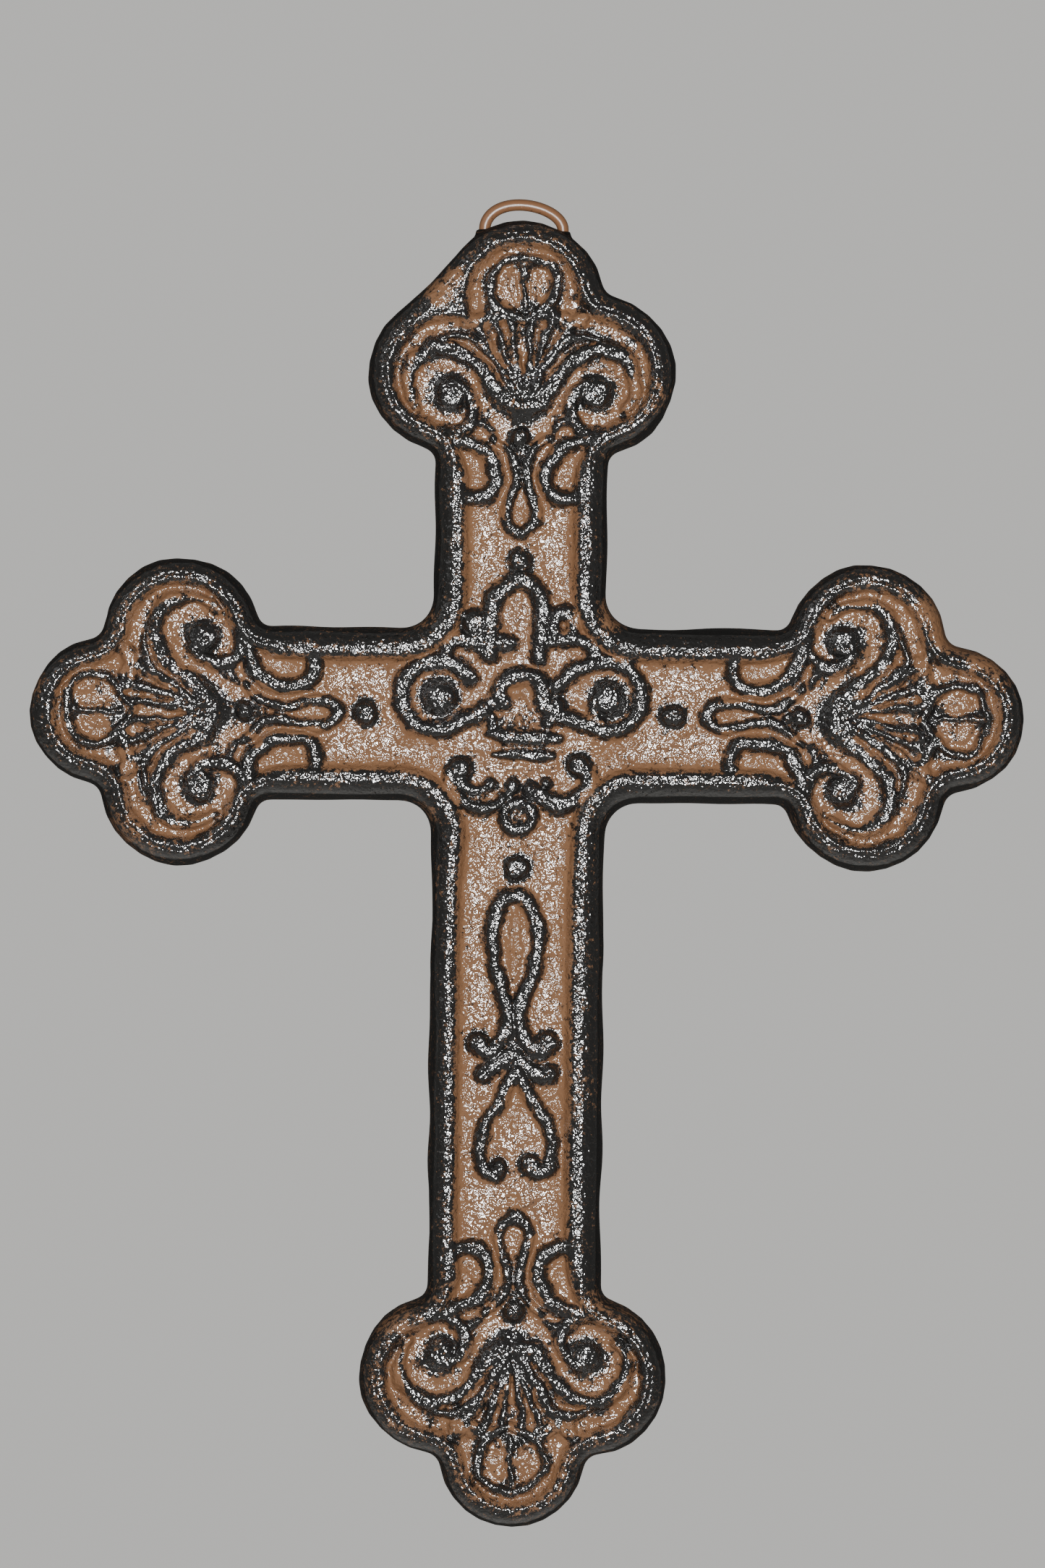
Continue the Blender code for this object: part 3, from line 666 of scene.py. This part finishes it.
def distance_from(spots, places):
    """How far each place is from the nearest spot."""
    tree = kdtree.KDTree(len(spots))
    for index, spot in enumerate(spots):
        tree.insert((spot[0], spot[1], 0.0), index)
    tree.balance()
    return np.array([tree.find((x, z, 0.0))[2] for x, z in places])


def merged_copy(node, name):
    """A copy of a CAD node that stands alone, without its properties and with its loose triangles joined."""
    piece = node.copy()
    piece.data = node.data.copy()
    piece.name = name
    piece.parent = None
    for key in list(piece.keys()):
        del piece[key]
    piece.data.materials.clear()
    bpy.context.scene.collection.objects.link(piece)
    make_active(piece)
    bpy.ops.object.mode_set(mode="EDIT")
    bpy.ops.mesh.select_all(action="SELECT")
    bpy.ops.mesh.remove_doubles(threshold=1e-6)
    bpy.ops.object.mode_set(mode="OBJECT")
    return piece


def fill_sockets(casting):
    """Fill the sockets of the wire's legs, because the iron was cast round them."""
    low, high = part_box("hanging_loop")
    wire = high.y - low.y
    wider_than_socket = wire * 0.8
    depth = (LEG_DEPTH + SOCKET_PAST_LEG) * MM
    middle = low.z + (LEG_DEPTH - SOCKET_PAST_LEG) / 2 * MM
    for x in (low.x + wire / 2, high.x - wire / 2):
        bpy.ops.mesh.primitive_cylinder_add(vertices=24, radius=wider_than_socket, depth=depth,
                                            location=(x, (low.y + high.y) / 2, middle))
        plug = bpy.context.object
        deselect_all()
        plug.select_set(True)
        casting.select_set(True)
        bpy.context.view_layer.objects.active = casting
        bpy.ops.object.join()


def read_vectors(mesh, name):
    """One row for each point of a mesh, of its places or normals."""
    values = np.empty(len(mesh.vertices) * 3)
    mesh.vertices.foreach_get(name, values)
    return values.reshape(-1, 3)


def carve(mesh, outline):
    """Move the fine mesh's points to the relief, and keep the paint and the skin at each point."""
    points = read_vectors(mesh, "co") / MM
    places = np.column_stack((points[:, 0], points[:, 2] - CROSSING_Z))
    inset = distance_from(outline, places)
    height, paint, skin = read_relief(places, fill_web(places, inset), draw_relief())

    front = points[:, 1] < -FRONT_FROM
    points[:, 1] += smooth_step(0.8, 1.7, inset) * front * (-height - points[:, 1])
    uneven = 0.06 * lumps(points, 7, 5.0) + 0.06 * lumps(points, 8, 1.3)
    uneven += 0.12 * lumps(points, 11, 1.7) * plateau_share(places) * smooth_step(4.0, 5.5, inset)
    points[:, 1] -= uneven * front

    # The walls and the shoulder wander, mostly sideways
    wander = 0.16 * lumps(points, 9, 7.0) * smooth_step(RIM_FROM, 1.2, inset)
    points += read_vectors(mesh, "normal") * (1.0, 0.3, 1.0) * wander[:, None]
    points[:, 1] = np.clip(points[:, 1], -RIM_TOP - 0.3, 0.0)

    # The back is sunk here and there, as iron shrinks in an open mould
    back = points[:, ::2]
    sunk = 0.07 * np.clip(1.2 + lumps(back, 13, 6.0) + 0.5 * lumps(back, 14, 2.5), 0.0, 3.0)
    points[:, 1] -= sunk * (points[:, 1] > -0.3) * smooth_step(0.5, 2.0, inset)
    mesh.vertices.foreach_set("co", (points * MM).ravel())

    # Away from the front, the walls are nearly black and the back is brown inside a blacker edge
    on_back = points[:, 1] > -0.8
    back_paint = 0.24 + 0.5 * smooth_step(5.0, 0.5, inset)
    paint = np.where(front, paint, np.where(on_back, back_paint, 0.85))
    skin = np.where(front & (inset > 1.0), skin, np.where(on_back, 0.5, 0.35))
    # The black layer holds the rubbed paint and the painted shade at the feet of the strokes
    for name, values in (("black_rub_and_foot_shade", paint), ("sandy_skin", skin)):
        layer = mesh.attributes.new(name, "FLOAT", "POINT")
        layer.data.foreach_set("value", values.astype(np.float32))
    mesh.update()


def model_casting():
    """The casting's outline from the frame, with its front carved as fine vertex moves."""
    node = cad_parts["cross"]
    casting = merged_copy(node, "carved_casting")
    fill_sockets(casting)
    apply_modifier(casting, "REMESH", mode="VOXEL", voxel_size=VOXEL * MM)
    apply_modifier(casting, "SMOOTH", factor=0.5, iterations=SMOOTH_PASSES)
    carve(casting.data, back_outline(node))
    triangles = sum(len(p.vertices) - 2 for p in casting.data.polygons)
    apply_modifier(casting, "DECIMATE", ratio=TRIANGLE_BUDGET / triangles)
    make_active(casting)
    bpy.ops.object.shade_smooth()
    return casting


def model_wire():
    """The hanging loop, a bent round wire whose legs go down into the iron."""
    low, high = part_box("hanging_loop")
    radius = (high.y - low.y) / 2
    half = (high.x - low.x) / 2 - radius
    spring = low.z + LEG_DEPTH * MM
    crown_rise = high.z - radius - spring
    middle = (low.y + high.y) / 2
    arch = [(half * math.cos(a) - WIRE_LEAN * MM * math.sin(a) ** 2, spring + crown_rise * math.sin(a))
            for a in np.linspace(0, math.pi, 33)]
    route = [(half, low.z)] + arch + [(-half, low.z)]
    curve = bpy.data.curves.new("hanging_wire", "CURVE")
    curve.dimensions = "3D"
    curve.bevel_depth = radius
    curve.bevel_resolution = 7
    curve.use_fill_caps = True
    spline = curve.splines.new("POLY")
    spline.points.add(len(route) - 1)
    for target, (x, z) in zip(spline.points, route):
        target.co = (x, middle, z, 1.0)
    wire = bpy.data.objects.new("hanging_wire", curve)
    bpy.context.scene.collection.objects.link(wire)
    make_active(wire)
    bpy.ops.object.convert(target="MESH")
    bpy.ops.object.shade_smooth()
    return wire


# Materials

def colour(code):
    """An sRGB hex colour as linear RGBA."""
    parts = [int(code[i:i + 2], 16) / 255 for i in (1, 3, 5)]
    return [c / 12.92 if c <= 0.04045 else ((c + 0.055) / 1.055) ** 2.4 for c in parts] + [1.0]


def add_node(tree, kind, links=None, **settings):
    """Add a node; a name in settings that is an input's name sets that input."""
    node = tree.nodes.new(kind)
    for name, value in settings.items():
        if hasattr(node, name):
            setattr(node, name, value)
        else:
            wanted = name.replace("_", " ")
            next(s for s in node.inputs if s.name.lower() == wanted).default_value = value
    for target, source in (links or {}).items():
        tree.links.new(source, node.inputs[target])
    return node


def per_mm(size):
    """Noise scale whose features are about the given size in millimetres."""
    return 1.0 / (size * MM)


def paint_material():
    """Brown paint on sand-cast iron, with glossy black rubbed over what stands up and black painted shade at
    its feet.
    """
    # The eye sees black ridges and rim on a brown ground, and a sandy skin that glitters
    material = bpy.data.materials.new("sand-cast iron, brown paint rubbed with black")
    material.use_nodes = True
    tree = material.node_tree
    tree.nodes.clear()

    # The noises are turned, because they line up with the flat face otherwise
    straight = add_node(tree, "ShaderNodeTexCoord")
    turned_place = add_node(tree, "ShaderNodeMapping", {"Vector": straight.outputs["Object"]},
                            rotation=(0.6, 0.4, 0.5))
    place = turned_place.outputs["Vector"]
    rub = add_node(tree, "ShaderNodeAttribute", attribute_name="black_rub_and_foot_shade").outputs["Fac"]
    skin = add_node(tree, "ShaderNodeAttribute", attribute_name="sandy_skin").outputs["Fac"]

    # The black covers where it was rubbed and where shade is painted at the feet of the strokes, broken up by
    # specks of about a millimetre and by slow clouds
    specks = add_node(tree, "ShaderNodeTexNoise", {"Vector": place}, scale=per_mm(1.05), detail=5.0,
                      roughness=0.85)
    flecks = add_node(tree, "ShaderNodeMapRange", {"Value": specks.outputs["Fac"]}, clamp=False,
                      from_min=0.34, from_max=0.66)
    clouds = add_node(tree, "ShaderNodeTexNoise", {"Vector": place}, scale=per_mm(14.0), detail=2.0)
    drift = add_node(tree, "ShaderNodeMapRange", {"Value": clouds.outputs["Fac"]}, from_min=0.3, from_max=0.7,
                     to_min=-0.13, to_max=0.13)
    edge = add_node(tree, "ShaderNodeMath", {0: flecks.outputs["Result"], 1: drift.outputs["Result"]},
                    operation="ADD")
    need = add_node(tree, "ShaderNodeMapRange", {"Value": rub}, to_min=0.96, to_max=0.1)
    over = add_node(tree, "ShaderNodeMath", {0: edge.outputs["Value"], 1: need.outputs["Result"]},
                    operation="SUBTRACT")
    cover = add_node(tree, "ShaderNodeMapRange", {"Value": over.outputs["Value"]}, from_min=-0.07,
                     from_max=0.07)

    brown_drift = add_node(tree, "ShaderNodeTexNoise", {"Vector": place}, scale=per_mm(6.0), detail=3.0)
    brown = add_node(tree, "ShaderNodeMix", {"Factor": brown_drift.outputs["Fac"]}, data_type="RGBA")
    brown.inputs["A"].default_value = colour("#60432d")
    brown.inputs["B"].default_value = colour("#72533a")
    paint = add_node(tree, "ShaderNodeMix", {"Factor": cover.outputs["Result"], "A": brown.outputs["Result"]},
                     data_type="RGBA")
    paint.inputs["B"].default_value = colour("#0b0a09")

    # Moulding sand is finer than a pixel of the picture, so its grain is drawn at 0.7 mm to show
    pits = add_node(tree, "ShaderNodeTexNoise", {"Vector": place}, scale=per_mm(2.2), detail=2.0)
    uneven = add_node(tree, "ShaderNodeBump", {"Height": pits.outputs["Fac"]}, strength=0.8,
                      distance=0.3 * MM)
    grain = add_node(tree, "ShaderNodeTexNoise", {"Vector": place}, scale=per_mm(0.7), detail=1.0,
                     roughness=0.5)
    grain_depth = add_node(tree, "ShaderNodeMapRange", {"Value": skin}, to_min=0.75, to_max=1.0)
    gloss = add_node(tree, "ShaderNodeMapRange", {"Value": skin}, from_min=0.35, to_min=0.08, to_max=1.0)
    bump = add_node(tree, "ShaderNodeBump",
                    {"Height": grain.outputs["Fac"], "Strength": grain_depth.outputs["Result"],
                     "Normal": uneven.outputs["Normal"]}, distance=0.3 * MM)
    shader = add_node(tree, "ShaderNodeBsdfPrincipled",
                      {"Base Color": paint.outputs["Result"], "Normal": bump.outputs["Normal"],
                       "Coat Normal": bump.outputs["Normal"], "Coat Weight": gloss.outputs["Result"]},
                      roughness=0.8, ior=1.5)
    shader.inputs["Specular IOR Level"].default_value = 0.15
    shader.inputs["Coat Roughness"].default_value = 0.12
    shader.inputs["Coat IOR"].default_value = 1.75
    output = add_node(tree, "ShaderNodeOutputMaterial")
    tree.links.new(shader.outputs["BSDF"], output.inputs["Surface"])
    return material


def wire_material():
    """The same brown paint on drawn steel wire."""
    # The eye sees smooth satin brown with a soft light line along it and a few dark specks
    material = bpy.data.materials.new("steel wire, brown paint")
    material.use_nodes = True
    tree = material.node_tree
    tree.nodes.clear()
    place = add_node(tree, "ShaderNodeTexCoord").outputs["Object"]
    specks = add_node(tree, "ShaderNodeTexNoise", {"Vector": place}, scale=per_mm(1.2), detail=5.0,
                      roughness=0.7)
    cover = add_node(tree, "ShaderNodeMapRange", {"Value": specks.outputs["Fac"]}, from_min=0.62,
                     from_max=0.68)
    paint = add_node(tree, "ShaderNodeMix", {"Factor": cover.outputs["Result"]}, data_type="RGBA")
    paint.inputs["A"].default_value = colour("#6f4e36")
    paint.inputs["B"].default_value = colour("#241a14")
    bump = add_node(tree, "ShaderNodeBump", {"Height": specks.outputs["Fac"]}, strength=0.4,
                    distance=0.1 * MM)
    shader = add_node(tree, "ShaderNodeBsdfPrincipled",
                      {"Base Color": paint.outputs["Result"], "Normal": bump.outputs["Normal"]},
                      roughness=0.32)
    output = add_node(tree, "ShaderNodeOutputMaterial")
    tree.links.new(shader.outputs["BSDF"], output.inputs["Surface"])
    return material


# Stage, in metres and watts

def stage_material():
    """Matt pale paper, for the floor."""
    # The eye sees an even pale grey with no texture, kept pale by a faint glow
    material = bpy.data.materials.new("pale paper floor")
    material.use_nodes = True
    shader = material.node_tree.nodes["Principled BSDF"]
    shader.inputs["Base Color"].default_value = colour("#e6e4e0")
    shader.inputs["Roughness"].default_value = 0.9
    shader.inputs["Emission Color"].default_value = colour("#e6e4e0")
    shader.inputs["Emission Strength"].default_value = 0.15
    return material


def add_light(name, place, target, size, watts):
    """A round soft light at a place, turned to the target."""
    bpy.ops.object.light_add(type="AREA", location=place)
    light = bpy.context.object
    light.name = name
    light.data.shape = "DISK"
    light.data.size = size
    light.data.energy = watts
    light.rotation_euler = (Vector(target) - Vector(place)).to_track_quat("-Z", "Y").to_euler()
    return light


def set_surround():
    """A dim pale surround that lights the cross, and a plain pale grey one where the camera looks past it."""
    world = bpy.data.worlds.new("pale surround")
    world.use_nodes = True
    tree = world.node_tree
    lighting = tree.nodes["Background"]
    lighting.inputs["Color"].default_value = colour("#dedcd8")
    lighting.inputs["Strength"].default_value = 0.16
    seen = add_node(tree, "ShaderNodeBackground")
    seen.inputs["Color"].default_value = colour("#c9c8c5")
    by_camera = add_node(tree, "ShaderNodeLightPath").outputs["Is Camera Ray"]
    either = add_node(tree, "ShaderNodeMixShader",
                      {0: by_camera, 1: lighting.outputs["Background"], 2: seen.outputs["Background"]})
    tree.links.new(either.outputs["Shader"], tree.nodes["World Output"].inputs["Surface"])
    bpy.context.scene.world = world


def set_camera():
    """The camera, square on to the face and turned a little, as the photo is."""
    distance = 2.0
    face_y = -RIM_TOP * MM
    outline_y = -4.0 * MM
    across = 0.7 * MM
    height = (CROSSING_Z - 12.2) * MM
    picture_height = 276.4 * MM
    sensor = 24.0
    bpy.ops.object.camera_add(location=(across, face_y - distance, height))
    camera = bpy.context.object
    camera.rotation_euler = (math.pi / 2, -math.radians(0.55), 0.0)
    camera.data.sensor_fit = "VERTICAL"
    camera.data.sensor_height = sensor

    # The picture takes in this height where the outline is widest, which is behind the face
    camera.data.lens = sensor * (distance + outline_y - face_y) / picture_height
    camera.data.clip_start = 0.01
    bpy.context.scene.camera = camera


def set_stage():
    """A pale floor well below, a pale surround, a small near light, two soft ones, and the camera."""
    bpy.ops.mesh.primitive_circle_add(vertices=96, radius=4.0, fill_type="NGON", location=(0.0, 0.0, -1.5))
    floor = bpy.context.object
    floor.name = "floor"
    bpy.ops.object.transform_apply(location=True)
    floor.data.materials.append(stage_material())
    set_surround()

    # The small light beside the camera gives the glints, as a flash does
    middle = (0.0, 0.0, -0.115)
    add_light("flash", (0.03, -0.95, -0.055), middle, size=0.23, watts=16.5)
    back = add_light("soft back", (-0.5, 1.6, 0.5), middle, size=1.2, watts=16.0)

    # Seen in the gloss, the back light would draw a white line round the outline
    back.visible_glossy = False
    add_light("soft left", (-0.9, -0.6, 0.5), middle, size=0.8, watts=1.2)
    set_camera()


def main():
    deselect_all()
    casting = model_casting()
    casting.data.materials.append(paint_material())
    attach(casting, "root")
    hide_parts("cross")

    wire = model_wire()
    wire.data.materials.append(wire_material())
    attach(wire, "root")
    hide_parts("hanging_loop")
    set_stage()


main()
